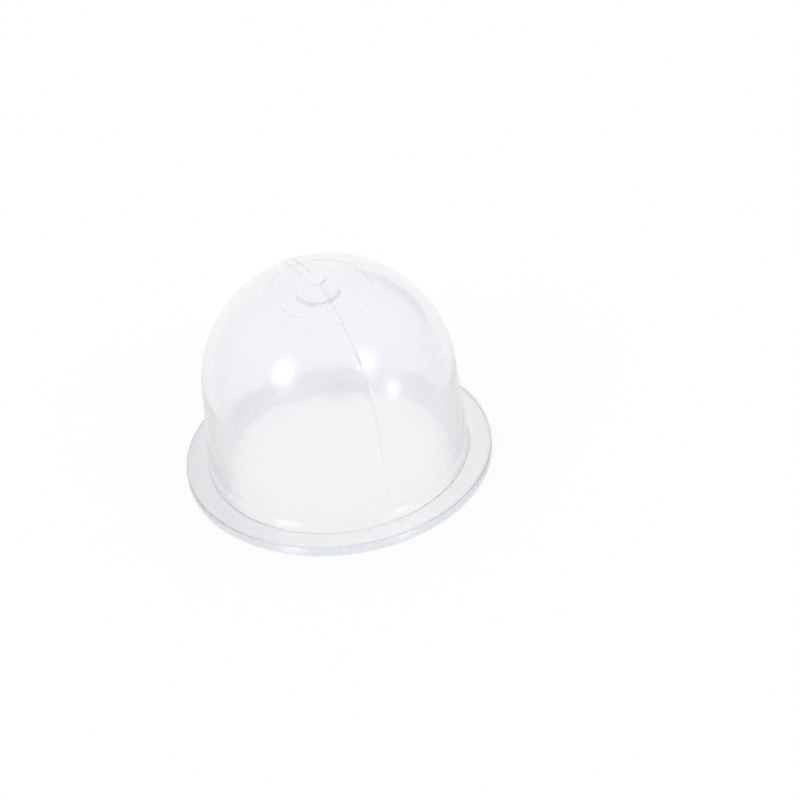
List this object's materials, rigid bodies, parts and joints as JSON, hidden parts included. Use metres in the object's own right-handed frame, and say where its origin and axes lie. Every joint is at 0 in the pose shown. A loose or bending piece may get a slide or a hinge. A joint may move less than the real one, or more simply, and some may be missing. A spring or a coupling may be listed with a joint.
{
  "type": "primer bulb",
  "caption": "Clear, soft domed bulb on a round flat flange, pressed by hand to draw fuel up to a small engine's carburettor.",
  "frame": {"origin": "centre of the flange's flat underside, which is also the centre of the mouth", "axes": "+Z along the dome's axis, from the mouth to the top; the mould's parting line lies 19 degrees from the YZ plane"},
  "size_m": [0.019, 0.019, 0.0141],
  "materials": {
    "clear_plastic": "clear, glossy, very faintly blue, flexible polyurethane"
  },
  "bodies": {
    "root": {"primer_bulb": "clear_plastic"}
  },
  "joints": []
}
